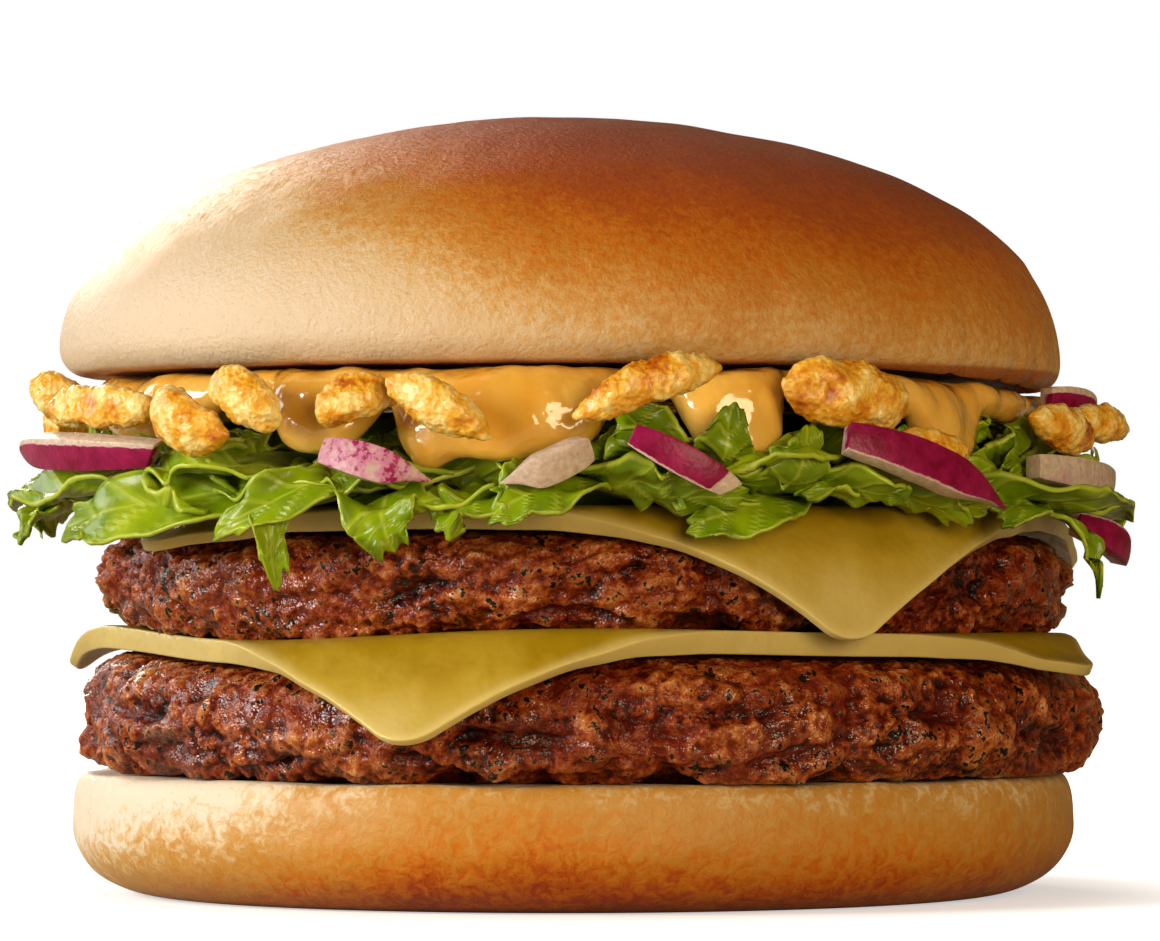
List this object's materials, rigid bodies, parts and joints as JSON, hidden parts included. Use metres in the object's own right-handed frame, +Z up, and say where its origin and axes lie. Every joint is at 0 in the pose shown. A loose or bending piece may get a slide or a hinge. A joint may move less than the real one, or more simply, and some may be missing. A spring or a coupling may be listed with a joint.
{
  "type": "double cheeseburger",
  "caption": "Double cheeseburger: a soft domed bun round two craggy beef patties, each under a melted cheese slice, with lettuce, red onion, fried onion and sauce spilling out below the crown",
  "frame": {"origin": "Centre of the lower bun half's flat foot, on the plane the burger rests on", "axes": "+Z is up through the layers. -Y is the front, the side that the picture shows. +X is to the right in the picture"},
  "size_m": [0.121, 0.1225, 0.0805],
  "materials": {
    "crust": "baked bun crust, golden to deep brown, dull sheen",
    "beef": "seared minced beef, craggy and greasy",
    "cheese": "soft melted processed cheese",
    "leaf": "fresh wet lettuce leaf",
    "onion": "raw red onion, purple skin over white flesh",
    "batter": "crisp fried onion in batter",
    "dressing": "thick orange burger sauce with fine specks"
  },
  "bodies": {
    "root": {"bun_heel": "crust", "patty_lower": "beef", "cheese_lower": "cheese", "patty_upper": "beef", "cheese_upper": "cheese", "lettuce": "leaf", "red_onion_01": "onion", "red_onion_02": "onion", "red_onion_03": "onion", "red_onion_04": "onion", "red_onion_05": "onion", "red_onion_06": "onion", "red_onion_07": "onion", "red_onion_08": "onion", "red_onion_09": "onion", "red_onion_10": "onion", "red_onion_11": "onion", "red_onion_12": "onion", "red_onion_13": "onion", "fried_onion_01": "batter", "fried_onion_02": "batter", "fried_onion_03": "batter", "fried_onion_04": "batter", "fried_onion_05": "batter", "fried_onion_06": "batter", "fried_onion_07": "batter", "fried_onion_08": "batter", "fried_onion_09": "batter", "fried_onion_10": "batter", "fried_onion_11": "batter", "fried_onion_12": "batter", "fried_onion_13": "batter", "fried_onion_14": "batter", "fried_onion_15": "batter", "fried_onion_16": "batter", "fried_onion_17": "batter", "sauce": "dressing", "bun_crown": "crust"}
  },
  "joints": []
}
